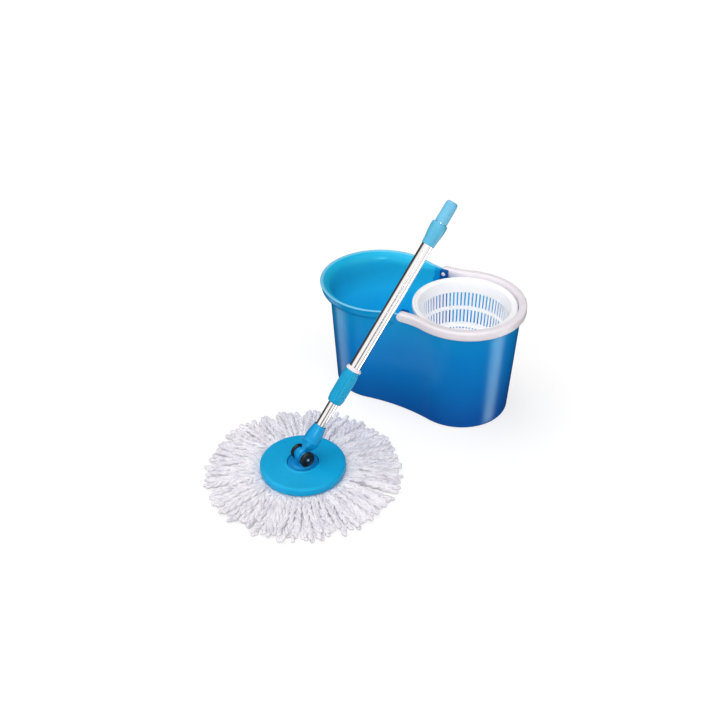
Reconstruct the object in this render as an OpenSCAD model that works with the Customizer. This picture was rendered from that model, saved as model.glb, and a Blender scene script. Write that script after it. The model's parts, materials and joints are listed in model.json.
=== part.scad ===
// Spin mop with its twin-lobe bucket: a spinning wringer basket on a post, a carrying bail,
// and a telescopic mop whose pole drives the head through a twisted rod.
// Origin: on the basket axis, at floor level. +X runs from the water lobe to the basket
// lobe, +Y is the back of the bucket and +Z is up. All sizes are in millimetres.

/* [Bucket] */
// Distance between the water lobe's axis and the basket lobe's axis
lobe_gap = 182.5; // [170:0.5:222]
// Height of the bucket's rim around the water lobe
rim_h = 233.5; // [215:0.5:285]
// Outer radius of the water lobe at the floor
water_base_r = 90; // [78:0.5:100]
// Outer radius of the water lobe's wall at the rim, without its flared lip
water_rim_r = 105.5; // [96:0.5:112]
// Outer radius of the basket lobe at the floor
basket_base_r = 98; // [85:0.5:108]
// Outer radius of the basket lobe at the rim
basket_rim_r = 110.5; // [108:0.5:130]
// How much narrower the waist is than the smaller lobe, on each side
waist_pinch = 6; // [4:0.5:10]
// Thickness of the moulded wall
wall = 3; // [2.2:0.1:4]
// Thickness of the bucket's floor
floor_t = 4; // [3:0.5:6]
// How far the lip flares out from the water lobe's wall
lip_out = 16.5; // [8:0.5:20]
// Height of the flared lip
lip_h = 27; // [20:1:45]
// Depth of the lowered rim that the bail rests on
seat_drop = 14.7; // [12:0.1:20]

/* [Bail] */
// Distance of the bail's pivots from the basket axis
pivot_back = 85.5; // [80:0.5:100]
// Width of the bail's bar
bail_w = 16; // [12:0.5:18]
// Height of the bail's bar
bail_h = 19; // [15:0.5:20]
// Radius of the bar's rounded edges
bail_edge = 5.5; // [2:0.5:6]
// Diameter of the pivot pins
pivot_d = 6; // [4:0.5:8]
// Thickness of the ears that hold the pivot pins
ear_t = 6.5; // [4:0.5:8]

/* [Basket] */
// Width of the basket's flange
flange_w = 10.5; // [8:0.5:14]
// Outer radius of the basket at its floor
basket_floor_r = 85; // [83:0.5:90]
// Depth of the basket below its flange
basket_depth = 105; // [95:1:115]
// Thickness of the basket's wall
basket_wall = 2.2; // [1.8:0.1:3]
// Number of slots around each row
slot_count = 72; // [48:12:84]
// Width of a drain slot
slot_w = 3.2; // [2:0.1:3.4]
// Diameter of the spindle
spindle_d = 8; // [6:0.5:12]
// Width of the hexagonal seat across its flats
seat_flats = 24; // [22:0.5:30]

/* [Mop head] */
// Distance of the mop head's axis from the basket axis along X
mop_x = -157; // [-180:1:-130]
// Distance of the mop head's axis from the basket axis along Y
mop_y = -354; // [-400:1:-345]
// Diameter of the head's disc
disc_d = 160; // [134:1:192]
// Height of the disc's top above the floor
disc_top = 30; // [28:0.5:34]
// Diameter across the spread strands
strands_d = 376; // [314:1:400]
// Diameter of the swivel hub
hub_d = 58; // [52:0.5:64]
// Height of the tilt hinge above the floor
hinge_h = 45; // [45:0.5:50]
// Diameter of the hinge's barrel
barrel_d = 27; // [22:0.5:28]
// Length of the barrel between its end caps
barrel_l = 31; // [26:0.5:40]
// Diameter of the hinge pin
hinge_pin_d = 6; // [4:0.5:8]

/* [Pole] */
// Lean of the pole from upright, as it stands
lean = 38.7; // [25:0.1:40]
// Direction the pole leans towards, measured from +X
lean_dir = 65; // [55:0.5:75]
// Outer diameter of the inner tube
inner_d = 19; // [16:0.5:19]
// Outer diameter of the outer tube
outer_d = 22; // [22:0.5:24]
// Wall thickness of both tubes
tube_wall = 0.8; // [0.6:0.1:1]
// Distance from the hinge to the socket's shoulder
shoulder_at = 32; // [28:0.5:36]
// Distance from the hinge to the top of the socket
socket_at = 66; // [60:0.5:72]
// Distance from the hinge to the lower end of the lock sleeve
sleeve_at = 115; // [110:0.5:130]
// Length of the lock sleeve
sleeve_l = 69; // [58:0.5:83]
// Diameter of the lock sleeve
sleeve_d = 31; // [29:0.5:34]
// Distance from the hinge to the top of the inner tube
inner_top = 412; // [380:1:420]
// Distance from the hinge to the lower end of the grip
grip_at = 449; // [440:1:540]
// Length of the flared lower grip
flare_l = 45; // [38:0.5:54]
// Length of the upper grip
grip_l = 43; // [36:0.5:52]
// Pitch of the twisted rod
rod_pitch = 80; // [70:1:96]
// Width of the twisted rod
rod_w = 8; // [6:0.5:9]
// Thickness of the twisted rod
rod_t = 2; // [1.6:0.1:2.4]

/* [Hidden] */
$fn = 64;

// Clearances
run_gap = 0.06;     // radial gap of a shaft that turns or slides in its hole
slip_gap = 0.5;     // gap between faces that move past each other
cut = 1;            // overrun of a cut past the face it opens

// Bucket
flare_z = rim_h - lip_h;
flare_end = rim_h - 8.5;
seat_z = rim_h - seat_drop;
bead = 1.6;         // how far the rim's rolled edge stands out
step_x = -pivot_back - bail_h / 2 - 3.5;
post_r = 20;
post_base_r = 30;
boss_r = 12;
boss_h = 10;
screw_ring = 25;

// Bail
bail_r = basket_rim_r + 1;
bail_z = seat_z + 0.7 + bail_h / 2;
leg_y = waist_at(seat_z) + 1;
leg_run = 10.5;
bend_x = -pivot_back + leg_run;
bend_r = (bend_x * bend_x + leg_y * leg_y - bail_r * bail_r) / (2 * (bail_r - leg_y));
ear_out = leg_y - bail_w / 2 - slip_gap;
pin_head_h = 1.8;
bar_end = -pivot_back - 4;
eye_r = bail_h / 2 - 0.6;

// Basket
flange_r = bail_r - bail_w / 2 - 1.5;
mouth_r = flange_r - flange_w;
flange_z = rim_h - 2.5;
basket_floor = flange_z - basket_depth;
post_h = basket_floor - 34;
hub_wall = 3;
socket_h = 18;
corner_r = 6;       // radius of the corner between floor and wall
corner_h = 8;       // height at which the straight wall starts
flange_t = 4;
skirt_h = 9;        // depth of the flange's outer edge
step_w = 6;         // width of the raised outer ring of the flange
step_t = 1.6;
cone_h = 18;        // height of the dock cone
floor_slot_w = 1.8;
floor_slot_l = 7;
// Depth of the slots' two ends below the flange, for the upper and the lower row
slot_top = [28, basket_depth - 38];
slot_low = [basket_depth - 46, basket_depth - 9];
spindle_top = post_h + 22;
washer_t = 1.5;
seat_low = post_h + washer_t;
seat_top = basket_floor - 1;
bush_r = spindle_d / 2 + 2.5;

// Mop head
disc_r = disc_d / 2;
hub_r = hub_d / 2;
disc_t = 3;
recess_floor = disc_top - 10;
stub_r = 11;
clip_z = recess_floor - disc_t - 2.5;
tongue_w = 10;
cheek_gap = slip_gap;
cap_t = 4;

// Pole
tube_in = inner_d / 2 - tube_wall;
outer_in = outer_d / 2 - tube_wall;
sleeve_end = sleeve_at + sleeve_l;
ring_t = 7.5;
tube_low = sleeve_at + 12;
rivet_r = 2;
rivet_at = shoulder_at + 14;
flare_end_at = grip_at + flare_l;
grip_end = flare_end_at + grip_l;
nut_h = 8;
nut_r = tube_in - 1.7;
nut_at = inner_top - 14;
nut_gap = 0.7;      // gap between the nut's slot and the rod
anchor_at = grip_at + 20;
anchor_l = 18;
rod_low = sleeve_at - 15;
rod_top = anchor_at + 10;
rod_slices = 140;
rod_slice = (rod_top - rod_low) / rod_slices;

// Radii of the two lobes' walls and half-width of the waist at height z
function water_at(z) = water_base_r + (water_rim_r - water_base_r) * z / rim_h;
function lobe_at(z) = basket_base_r + (basket_rim_r - basket_base_r) * z / rim_h;
function waist_at(z) = min(water_at(z), lobe_at(z)) - waist_pinch;

// How far the flared lip reaches out at height z: a quarter of an ellipse
function flare(z) = let (s = max(0, min(1, (z - flare_z) / (flare_end - flare_z))))
    lip_out * sqrt(1 - pow(1 - s, 2));

// Radius of the arcs that join lobes of radius a and b with a waist of half-width w
function waist_r(a, b, w) = let (
        x = (a * a - b * b - lobe_gap * lobe_gap) / (2 * lobe_gap),
        k = (a - b) / lobe_gap,
        p = b - x * k - w,
        q = b * b - x * x - w * w)
    abs(k) < 0.001 ? -q / (2 * p) : (p - sqrt(p * p + k * k * q)) / (k * k);

// Points along an arc
function arc(c, r, from, to, n) = [for (i = [0 : n - 1]) let (t = from + (to - from) * i / n)
    [c[0] + r * cos(t), c[1] + r * sin(t)]];

// Outline of the bucket: two lobes and two waist arcs, grown by o
function outline(a, b, w, o) = let (
        r = waist_r(a, b, w),
        x = (pow(a + r, 2) - pow(b + r, 2) - lobe_gap * lobe_gap) / (2 * lobe_gap),
        tb = atan2(w + r, x),
        ta = atan2(w + r, x + lobe_gap))
    concat(arc([0, 0], b + o, -tb, tb, 32),
        arc([x, w + r], r - o, tb - 180, ta - 180, 10),
        arc([-lobe_gap, 0], a + o, ta, 360 - ta, 32),
        arc([x, -w - r], r - o, 180 - ta, 180 - tb, 10));

// One level of the bucket's skin: height, growth o, and how far the lip reaches out there
function level(z, o, lip) =
    [for (p = outline(water_at(z) + lip, lobe_at(z), waist_at(z), o)) [p[0], p[1], z]];

// Closed skin through a list of levels that have equal numbers of points
module skin(levels) {
    n = len(levels[0]);
    last = len(levels) - 1;
    sides = [for (j = [0 : last - 1], i = [0 : n - 1]) let (k = (i + 1) % n)
        each [[j * n + i, (j + 1) * n + i, (j + 1) * n + k], [j * n + i, (j + 1) * n + k, j * n + k]]];
    polyhedron(points = [for (l = levels) each l],
        faces = concat([[for (i = [0 : n - 1]) i]], sides,
            [[for (i = [n - 1 : -1 : 0]) last * n + i]]), convexity = 6);
}

// Plan of the bail's bar at an offset o outwards from its centre line, end to end
function bar_path(o) = let (t = atan2(leg_y + bend_r, bend_x), far = leg_y + bend_r)
    concat([[bar_end, -leg_y - o]],
        arc([bend_x, -far], bend_r - o, 90, 180 - t, 6),
        arc([0, 0], bail_r + o, -t, t, 44),
        arc([bend_x, far], bend_r - o, t - 180, -90, 6),
        [[bend_x, leg_y + o], [bar_end, leg_y + o]]);

// Rounded section of the bail's bar: offset from the centre line, and height
function bar_section() = let (x = bail_w / 2 - bail_edge, z = bail_h / 2 - bail_edge)
    concat(arc([x, -z], bail_edge, -90, 0, 4), arc([x, z], bail_edge, 0, 90, 4),
        arc([-x, z], bail_edge, 90, 180, 4), arc([-x, -z], bail_edge, 180, 270, 4));

module place_mop() { translate([mop_x, mop_y, 0]) children(); }

// Pole frame: origin on the tilt hinge, Z along the pole, Y along the hinge pin
module place_pole() {
    translate([mop_x, mop_y, hinge_h]) rotate([0, 0, lean_dir]) rotate([0, lean, 0]) children();
}

module ring(r_out, r_in, h) {
    difference() {
        cylinder(r = r_out, h = h);
        translate([0, 0, -cut]) cylinder(r = r_in, h = h + 2 * cut);
    }
}

// Twisted bar of the drive rod, from one distance along the pole to another, grown by g
module twisted_bar(from, to, g, steps) {
    translate([0, 0, from]) rotate([0, 0, 360 * from / rod_pitch])
        linear_extrude(height = to - from, twist = -360 * (to - from) / rod_pitch, slices = steps,
            segments = 4)
            square([rod_w + 2 * g, rod_t + 2 * g], center = true);
}

module bucket_shell() {
    flare_steps = [0, 0.03, 0.1, 0.22, 0.4, 0.65, 1];
    // Height and growth of each level: up the outside, and over the bead of the rim
    outer = concat([[0, -4], [1.2, -1.4], [4, 0]],
        [for (s = flare_steps) [flare_z + s * (flare_end - flare_z), 0]],
        [[rim_h - 5, 0], [rim_h - 4, 0.75 * bead], [rim_h - 1.5, bead], [rim_h, 0.4], [rim_h, 1 - wall]]);
    // Drop below the rim and share of the lip: down the funnel inside the lip to the wall
    band = [[3, 0.68], [6.5, 0.4], [11, 0.18], [17, 0.05], [24, 0]];
    // Height above the floor and inward growth of the fillet at the foot of the wall
    fillet = [[6, 0], [1.5, 2], [0, 6]];
    color("deepskyblue") difference() {
        union() {
            difference() {
                skin(concat([for (l = outer) level(l[0], l[1], flare(l[0]))],
                    [for (l = band) level(rim_h - l[0], -wall, lip_out * l[1])],
                    [for (l = fillet) level(floor_t + l[0], -wall - l[1], 0)]));
                translate([step_x, -2 * basket_rim_r, seat_z])
                    cube([2 * basket_rim_r - step_x, 4 * basket_rim_r, seat_drop + cut]);
            }
            for (side = [-1, 1]) bucket_ear(side);
            translate([0, 0, floor_t / 2]) cylinder(r = boss_r, h = floor_t / 2 + boss_h);
        }
        for (side = [-1, 1]) translate([-pivot_back, side * (ear_out - ear_t / 2), bail_z])
            rotate([90, 0, 0]) cylinder(d = pivot_d, h = ear_t + 2 * cut, center = true);
        for (t = [0, 120, 240]) rotate([0, 0, t]) translate([screw_ring, 0, floor_t / 2])
            cylinder(r = 1.5, h = floor_t);
    }
}

// Ear inside the rim at the waist, standing above the lowered rim, with its foot on the wall
module bucket_ear(side) {
    ear_l = 17;
    foot_z = seat_z - 20;
    foot_out = waist_at(foot_z) - 0.8;
    ear_top = rim_h + 4;
    y_in = ear_out - ear_t;
    translate([-pivot_back - ear_l / 2, side > 0 ? y_in : -ear_out, foot_z + 4])
        cube([ear_l, ear_t, ear_top - foot_z - 4]);
    translate([-pivot_back - ear_l / 2, side > 0 ? y_in : -foot_out, foot_z])
        cube([ear_l, foot_out - y_in, seat_z - foot_z - 1.5]);
}

module bail_pivot_pins() {
    color("white") for (side = [-1, 1]) translate([-pivot_back, side * (ear_out - ear_t), bail_z])
        rotate([-90 * side, 0, 0]) {
            translate([0, 0, -pin_head_h]) cylinder(r = pivot_d / 2 + 1.6, h = pin_head_h);
            cylinder(d = pivot_d, h = ear_t + slip_gap + bail_w - 1);
        }
}

// U-shaped carrying handle that lies on the lowered rim around the basket
module handle_bail() {
    section = bar_section();
    lines = [for (p = section) bar_path(p[0])];
    levels = [for (i = [0 : len(lines[0]) - 1])
        [for (j = [len(section) - 1 : -1 : 0]) [lines[j][i][0], lines[j][i][1], bail_z + section[j][1]]]];
    color("white") difference() {
        union() {
            skin(levels);
            for (side = [-1, 1]) translate([-pivot_back, side * leg_y, bail_z]) rotate([90, 0, 0])
                cylinder(r = eye_r, h = bail_w - 1, center = true);
        }
        translate([-pivot_back, 0, bail_z]) rotate([90, 0, 0])
            cylinder(r = pivot_d / 2 + run_gap, h = 2 * (leg_y + bail_w), center = true);
    }
}

// Column on the bucket's floor that carries the spindle
module basket_post() {
    color("white") difference() {
        union() {
            translate([0, 0, floor_t]) cylinder(r = post_base_r, h = 3);
            translate([0, 0, floor_t + 3]) cylinder(r1 = post_r, r2 = post_r - 7, h = post_h - floor_t - 3);
        }
        translate([0, 0, floor_t - cut]) cylinder(r = boss_r, h = boss_h + cut);
        translate([0, 0, post_h - 24]) cylinder(d = spindle_d, h = 24 + cut);
        for (t = [0, 120, 240]) rotate([0, 0, t]) translate([screw_ring, 0, floor_t - cut])
            cylinder(r = 1.5, h = 3 + 2 * cut);
    }
}

module post_screws() {
    color("silver") for (t = [0, 120, 240]) rotate([0, 0, t]) translate([screw_ring, 0, 0]) {
        translate([0, 0, floor_t + 3]) cylinder(r = 3, h = 1.8);
        translate([0, 0, floor_t / 2]) cylinder(r = 1.5, h = floor_t / 2 + 3.5);
    }
}

module spindle() {
    color("silver") translate([0, 0, post_h - 24]) cylinder(d = spindle_d, h = spindle_top - post_h + 24);
}

module thrust_washer() {
    color("silver") translate([0, 0, post_h]) ring(11, spindle_d / 2, washer_t - slip_gap);
}

// Hexagonal hub that turns on the spindle and drives the basket
module basket_seat() {
    color("lightgray") difference() {
        translate([0, 0, seat_low]) cylinder(r = seat_flats / sqrt(3), h = seat_top - seat_low, $fn = 6);
        translate([0, 0, seat_low - cut]) cylinder(r = bush_r, h = spindle_top + 1 - seat_low + cut);
    }
}

module bearing_bush() {
    color("goldenrod") translate([0, 0, seat_low + 0.2]) ring(bush_r, spindle_d / 2 + run_gap, 16);
}

// Slotted wringer basket with a flange, a hexagonal socket below and a dock cone inside
module basket() {
    f = basket_floor;
    w = basket_wall;
    out = basket_floor_r;
    socket_r = seat_flats / sqrt(3) + hub_wall;
    color("white") difference() {
        rotate_extrude($fn = 120) polygon(concat(
            [[0, f], [out - corner_r, f]],
            arc([out - corner_r, f + corner_r], corner_r, -90, 0, 4),
            [[out, f + corner_h], [mouth_r, flange_z - flange_t], [flange_r - w, flange_z - flange_t],
             [flange_r - w, flange_z - skirt_h], [flange_r, flange_z - skirt_h], [flange_r, flange_z - 1.5],
             [flange_r - 1.5, flange_z], [flange_r - step_w, flange_z],
             [flange_r - step_w - 0.6, flange_z - step_t], [mouth_r - w + 1.5, flange_z - step_t],
             [mouth_r - w, flange_z - step_t - 1.6], [out - w, f + corner_h]],
            arc([out - corner_r, f + corner_r], corner_r - w, 0, -90, 4),
            [[16, f + w], [14, f + cone_h - 4], [8, f + cone_h], [0, f + cone_h]]));
        for (row = [0, 1], i = [0 : slot_count - 1]) rotate([0, 0, (i + 0.5) * 360 / slot_count])
            translate([out - 12, -slot_w / 2, flange_z - slot_low[row]])
                cube([mouth_r + 16 - out, slot_w, slot_low[row] - slot_top[row]]);
        for (i = [0 : slot_count - 1]) rotate([0, 0, (i + 0.5) * 360 / slot_count])
            translate([out - 15, -floor_slot_w / 2, f - cut]) cube([floor_slot_l, floor_slot_w, w + 2 * cut]);
        translate([0, 0, f - cut]) cylinder(r = 8, h = cone_h - 5 + cut);
    }
    color("white") translate([0, 0, f - socket_h]) difference() {
        cylinder(r = socket_r, h = socket_h);
        translate([0, 0, -cut])
            cylinder(r = (seat_flats + 2 * slip_gap) / sqrt(3), h = socket_h + cut, $fn = 6);
    }
}

module mop_disc() {
    color("deepskyblue") place_mop() rotate_extrude($fn = 120) polygon([
        [stub_r + run_gap, recess_floor - disc_t], [hub_r + 4, recess_floor - disc_t],
        [hub_r + 4, disc_top - disc_t - 0.5], [disc_r - 5, disc_top - disc_t - 1],
        [disc_r - 3, disc_top - 15], [disc_r, disc_top - 15], [disc_r, disc_top - 4],
        [disc_r - 2.5, disc_top - 0.8], [disc_r - 5, disc_top], [hub_r + 5, disc_top + 1],
        [hub_r + 3.5, disc_top + 2], [hub_r + 0.6, disc_top + 2],
        [hub_r + 0.6, recess_floor], [stub_r + run_gap, recess_floor]]);
}

// Ring that the strands are sewn to, pushed up into the disc
module refill_ring() {
    color("whitesmoke") place_mop() translate([0, 0, disc_top - 17.5])
        ring(disc_r - 6, hub_r + 5, 12);
}

// Outer form of the spread strands, lying on the floor
module mop_strands() {
    r = strands_d / 2;
    z = disc_top - 18;
    color("white") place_mop() rotate_extrude($fn = 120) polygon([[hub_r + 5, 0], [r, 0], [r, 7],
        [r * 0.85, 15], [disc_r + 18, z + 10], [disc_r + 1, z + 8], [disc_r + 1, z], [hub_r + 5, z]]);
}

module hub_clip() {
    color("silver") place_mop() translate([0, 0, clip_z]) ring(stub_r + 5, stub_r - 2, 2);
}

// Round hub that turns in the disc, with the two cheeks of the tilt hinge
module swivel_hub() {
    low = recess_floor + slip_gap;
    cheek_in = tongue_w / 2 + cheek_gap;
    cheek_t = barrel_l / 2 - cheek_in;
    cheek_w = barrel_d - 4;
    // How far the cheeks' feet sink into the hub's top
    cheek_root = 3;
    color("royalblue") place_mop() rotate([0, 0, lean_dir]) difference() {
        union() {
            translate([0, 0, low]) cylinder(r = hub_r, h = disc_top - 1 - low);
            translate([0, 0, clip_z]) cylinder(r = stub_r - 2, h = low - clip_z + cut);
            translate([0, 0, clip_z + 2]) cylinder(r = stub_r, h = low - clip_z);
            for (side = [-1, 1]) translate([0, side * (cheek_in + cheek_t / 2), 0]) {
                translate([0, 0, hinge_h]) rotate([90, 0, 0])
                    cylinder(d = barrel_d, h = cheek_t, center = true);
                translate([-cheek_w / 2, -cheek_t / 2, disc_top - cheek_root])
                    cube([cheek_w, cheek_t, hinge_h - disc_top + cheek_root]);
            }
        }
        translate([0, 0, hinge_h]) rotate([90, 0, 0])
            cylinder(d = hinge_pin_d, h = barrel_l + 2 * cut, center = true);
        translate([0, 0, hinge_h]) rotate([90, 0, 0])
            cylinder(d = barrel_d + 4, h = 2 * cheek_in, center = true);
    }
}

module hinge_pin() {
    color("silver") place_mop() rotate([0, 0, lean_dir]) translate([0, 0, hinge_h])
        rotate([90, 0, 0]) cylinder(d = hinge_pin_d, h = barrel_l + 2 * cap_t + 0.6, center = true);
}

module hinge_caps() {
    cap_d = barrel_d + 2.5;
    cap_edge = 1.5;
    color("black") place_mop() rotate([0, 0, lean_dir]) translate([0, 0, hinge_h]) for (side = [-1, 1])
        rotate([-90 * side, 0, 0]) translate([0, 0, barrel_l / 2]) difference() {
            union() {
                cylinder(d = cap_d, h = cap_t - cap_edge);
                translate([0, 0, cap_t - cap_edge]) cylinder(d1 = cap_d, d2 = cap_d - 4.5, h = cap_edge);
            }
            translate([0, 0, -cut]) cylinder(d = hinge_pin_d, h = cap_t + 2 * cut);
        }
}

// Tongue that turns on the hinge pin, and the socket that holds the inner tube
module pole_socket() {
    ridge_r = 16.5;
    ridge_h = 4;
    bell_r = 14.5;
    bell_h = 18;
    collar_r = inner_d / 2 + 2.8;
    tongue_l = barrel_d - 10;
    ridge_low = shoulder_at - ridge_h / 2;
    bell_low = shoulder_at + ridge_h / 2;
    bell_top = bell_low + bell_h;
    color("steelblue") place_pole() difference() {
        union() {
            rotate([90, 0, 0]) cylinder(d = barrel_d - 1, h = tongue_w, center = true);
            translate([-tongue_l / 2, -tongue_w / 2, 0]) cube([tongue_l, tongue_w, ridge_low - 4]);
            translate([0, 0, ridge_low - 10]) cylinder(r1 = ridge_r - 7.5, r2 = ridge_r - 2.5, h = 10);
            translate([0, 0, ridge_low]) cylinder(r = ridge_r, h = ridge_h);
            translate([0, 0, bell_low]) cylinder(r1 = ridge_r - 0.5, r2 = bell_r, h = bell_h);
            translate([0, 0, bell_top]) cylinder(r1 = bell_r, r2 = collar_r, h = socket_at - bell_top);
        }
        rotate([90, 0, 0]) cylinder(r = hinge_pin_d / 2 + run_gap, h = tongue_w + 2 * cut, center = true);
        translate([0, 0, shoulder_at]) cylinder(d = inner_d, h = socket_at);
        translate([0, 0, rivet_at]) rotate([90, 0, 0]) cylinder(r = rivet_r, h = 3 * bell_r, center = true);
    }
}

module socket_rivet() {
    color("silver") place_pole() translate([0, 0, rivet_at]) rotate([90, 0, 0])
        cylinder(r = rivet_r, h = 30, center = true);
}

module inner_tube() {
    color("silver") place_pole() difference() {
        translate([0, 0, shoulder_at]) ring(inner_d / 2, tube_in, inner_top - shoulder_at);
        translate([0, 0, rivet_at]) rotate([90, 0, 0]) cylinder(r = rivet_r, h = 2 * inner_d, center = true);
    }
}

// Cup in the top of the inner tube, where the drive nut turns between its stops
module clutch_cup() {
    color("lightgray") place_pole() difference() {
        union() {
            translate([0, 0, nut_at - 8]) cylinder(r = tube_in, h = inner_top - nut_at + 8);
            translate([0, 0, inner_top]) cylinder(d = inner_d, h = 1.5);
        }
        translate([0, 0, nut_at - 8 - cut]) cylinder(r = rod_w / 2 + 0.8, h = 40);
        translate([0, 0, nut_at - 0.4]) cylinder(r = nut_r + run_gap, h = 40);
    }
}

module clutch_cap() {
    color("dimgray") place_pole() translate([0, 0, nut_at + nut_h + 0.4])
        ring(nut_r + run_gap, rod_w / 2 + 0.8, inner_top + 1.5 - nut_at - nut_h - 0.4);
}

module drive_nut() {
    color("orange") place_pole() difference() {
        translate([0, 0, nut_at]) cylinder(r = nut_r, h = nut_h);
        twisted_bar(nut_at - cut, nut_at + nut_h + cut, nut_gap, 12);
    }
}

module helical_rod() {
    color("silver") place_pole() twisted_bar(rod_low, rod_top, 0, rod_slices);
}

module rod_anchor() {
    anchor_slices = ceil((rod_top - anchor_at + cut) / rod_slice);
    color("lightgray") place_pole() difference() {
        translate([0, 0, anchor_at]) cylinder(r = outer_in, h = anchor_l);
        twisted_bar(rod_top - anchor_slices * rod_slice, rod_top, 0, anchor_slices);
        translate([0, 0, anchor_at + 14]) rotate([90, 0, 0]) cylinder(r = 1.5, h = 40, center = true);
    }
}

module anchor_pin() {
    color("silver") place_pole() translate([0, 0, anchor_at + 14]) rotate([90, 0, 0])
        cylinder(r = 1.5, h = outer_d - 0.8, center = true);
}

module outer_tube() {
    color("silver") place_pole() difference() {
        translate([0, 0, tube_low]) ring(outer_d / 2, outer_in, flare_end_at + grip_l / 2 - tube_low);
        translate([0, 0, anchor_at + 14]) rotate([90, 0, 0]) cylinder(r = 1.5, h = 40, center = true);
    }
}

module guide_bush() {
    color("white") place_pole() translate([0, 0, tube_low]) ring(outer_in, inner_d / 2 + run_gap, 24);
}

module lock_collet() {
    color("white") place_pole() translate([0, 0, sleeve_at + 3])
        ring(outer_d / 2 + 0.8, inner_d / 2 + run_gap, tube_low - sleeve_at - 3);
}

module lock_ring() {
    color("white") place_pole() translate([0, 0, sleeve_end + slip_gap])
        ring(sleeve_d / 2 - 0.5, outer_d / 2, ring_t - slip_gap);
}

// Twist collar around the lower end of the outer tube, with finger ribs
module lock_sleeve() {
    r = sleeve_d / 2;
    ribs = 20;
    rib_r = 1.1;
    end_h = 4;
    // Floor of the room that holds the collet
    room_low = sleeve_at + 2.4;
    color("deepskyblue") place_pole() difference() {
        union() {
            translate([0, 0, sleeve_at]) cylinder(r1 = r - 3, r2 = r - 1, h = end_h);
            translate([0, 0, sleeve_at + end_h]) cylinder(r1 = r - 1, r2 = r - 0.6, h = sleeve_l - end_h);
            for (i = [0 : ribs - 1]) rotate([0, 0, i * 360 / ribs])
                translate([r - rib_r - 0.1, 0, sleeve_at + 2 * end_h])
                    cylinder(r = rib_r, h = sleeve_l - 2 * end_h - 3, $fn = 16);
        }
        translate([0, 0, sleeve_at - cut]) cylinder(r = inner_d / 2 + 0.4, h = sleeve_l + 2 * cut);
        translate([0, 0, room_low]) cylinder(r = outer_d / 2 + 1.3, h = tube_low - room_low + 0.4);
        translate([0, 0, tube_low]) cylinder(r = outer_d / 2 + run_gap, h = sleeve_l);
    }
}

module grip_lower() {
    r = outer_d / 2;
    wide_r = r + 4.4;
    cone_h = flare_l * 0.55;
    top_h = flare_l * 0.2;
    color("lightskyblue") place_pole() difference() {
        union() {
            translate([0, 0, grip_at]) cylinder(r1 = r + 1.2, r2 = wide_r, h = cone_h);
            translate([0, 0, grip_at + cone_h]) cylinder(r = wide_r, h = flare_l - cone_h - top_h);
            translate([0, 0, flare_end_at - top_h]) cylinder(r1 = wide_r, r2 = wide_r - 1, h = top_h - 0.4);
        }
        translate([0, 0, grip_at - cut]) cylinder(r = r, h = flare_l + 2 * cut);
    }
}

module grip_upper() {
    r = outer_d / 2 + 1;
    end_h = 4;
    color("lightskyblue") place_pole() difference() {
        union() {
            translate([0, 0, flare_end_at]) cylinder(r1 = r - 0.4, r2 = r, h = grip_l - end_h);
            translate([0, 0, grip_end - end_h]) cylinder(r1 = r, r2 = r - 2.6, h = end_h);
        }
        translate([0, 0, flare_end_at - cut]) cylinder(d = outer_d, h = grip_l / 2 + cut);
    }
}

bucket_shell();
bail_pivot_pins();
handle_bail();
basket_post();
post_screws();
spindle();
thrust_washer();
basket_seat();
bearing_bush();
basket();
mop_disc();
refill_ring();
mop_strands();
hub_clip();
swivel_hub();
hinge_pin();
hinge_caps();
pole_socket();
socket_rivet();
inner_tube();
clutch_cup();
clutch_cap();
drive_nut();
helical_rod();
rod_anchor();
anchor_pin();
outer_tube();
guide_bush();
lock_collet();
lock_ring();
lock_sleeve();
grip_lower();
grip_upper();
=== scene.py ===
"""Looks of the spin mop: its bucket, bail and wringer basket, the mop head and the telescopic pole.

Lengths inside the piece functions are millimetres in the CAD frame; meshes are made in metres.
"""
import json
import math
import random

import bmesh
import bpy
from mathutils import Matrix, Vector, noise


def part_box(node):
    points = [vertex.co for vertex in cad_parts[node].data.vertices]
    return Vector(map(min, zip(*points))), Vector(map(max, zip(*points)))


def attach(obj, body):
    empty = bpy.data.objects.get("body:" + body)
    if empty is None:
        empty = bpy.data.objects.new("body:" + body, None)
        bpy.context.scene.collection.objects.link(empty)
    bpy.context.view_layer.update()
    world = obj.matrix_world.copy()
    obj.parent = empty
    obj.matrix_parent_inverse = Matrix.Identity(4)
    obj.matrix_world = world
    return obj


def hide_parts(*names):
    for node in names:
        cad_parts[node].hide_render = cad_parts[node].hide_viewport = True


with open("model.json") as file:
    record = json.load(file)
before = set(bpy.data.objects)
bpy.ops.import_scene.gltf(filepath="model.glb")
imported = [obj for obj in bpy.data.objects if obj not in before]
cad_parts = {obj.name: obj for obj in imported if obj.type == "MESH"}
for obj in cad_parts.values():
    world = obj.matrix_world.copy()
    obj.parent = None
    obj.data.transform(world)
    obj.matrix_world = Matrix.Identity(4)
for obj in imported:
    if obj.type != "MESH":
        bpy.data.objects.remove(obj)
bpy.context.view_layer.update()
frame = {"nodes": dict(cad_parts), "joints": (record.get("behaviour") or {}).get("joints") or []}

MM = 0.001
TURN = 2 * math.pi

# ---------------- camera

LENS = 51.2
SENSOR = 36
CAMERA_AT = (0.6425, -1.5746, 1.2724)
# Degrees up from looking straight down, and round the upright axis
CAMERA_TILT = 55.16
CAMERA_ROUND = 29.05

camera_data = bpy.data.cameras.new("Camera")
camera_data.lens = LENS
camera_data.sensor_width = SENSOR
camera = bpy.data.objects.new("Camera", camera_data)
camera.location = CAMERA_AT
camera.rotation_euler = (math.radians(CAMERA_TILT), 0, math.radians(CAMERA_ROUND))
bpy.context.scene.collection.objects.link(camera)
bpy.context.scene.camera = camera

# ---------------- measures taken from the frame


def corners(node):
    """Lowest and highest corner of a CAD node, in millimetres."""
    low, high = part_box(node)
    return low / MM, high / MM


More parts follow.
